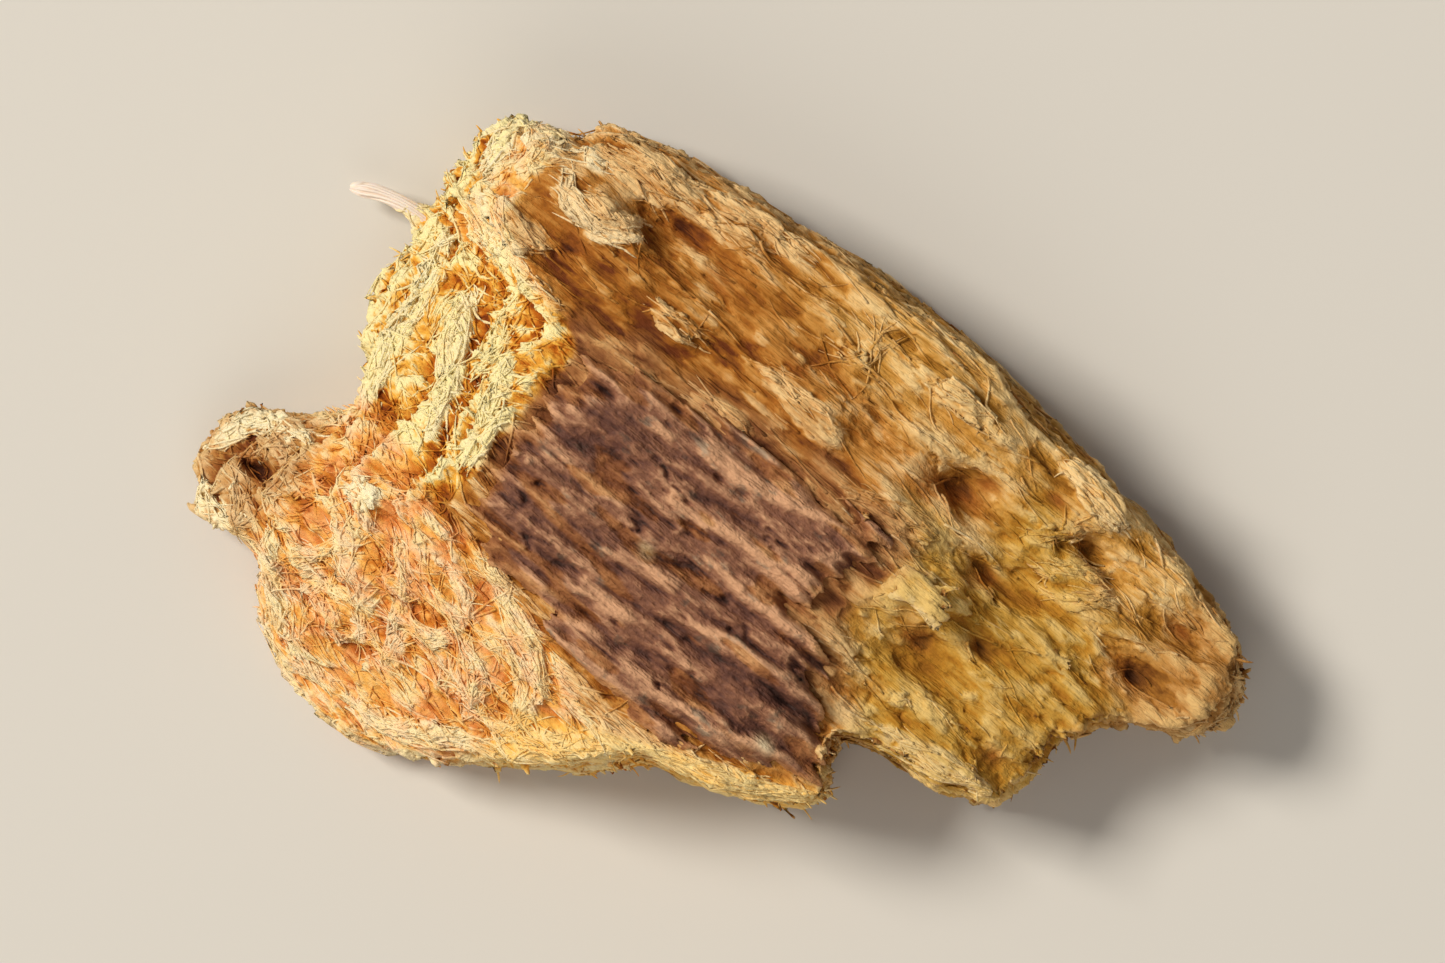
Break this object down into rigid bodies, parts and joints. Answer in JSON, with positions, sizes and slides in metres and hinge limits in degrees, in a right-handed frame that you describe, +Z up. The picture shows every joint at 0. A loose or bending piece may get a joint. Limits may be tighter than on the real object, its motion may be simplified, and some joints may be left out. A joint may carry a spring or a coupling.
{
  "type": "cascara sagrada bark chip",
  "caption": "Torn and cut chip of dried cascara sagrada bark, with ridged purple-brown cork, a worn tan layer, golden fibrous broken faces and a flat inner face to rest on.",
  "frame": {"origin": "middle of the chip's box, on the surface it rests on", "axes": "+X along the grain, towards the narrow nose; +Y across the grain, towards the straight back edge; +Z up, from the smooth inner face to the corky outer side"},
  "size_m": [0.013, 0.009, 0.0033],
  "materials": {
    "dried_bark": "dry and rough: matt golden fibrous inner bark, with a patch of slightly waxy purple-brown cork"
  },
  "bodies": {
    "root": {"bark_chip": "dried_bark"}
  },
  "joints": []
}
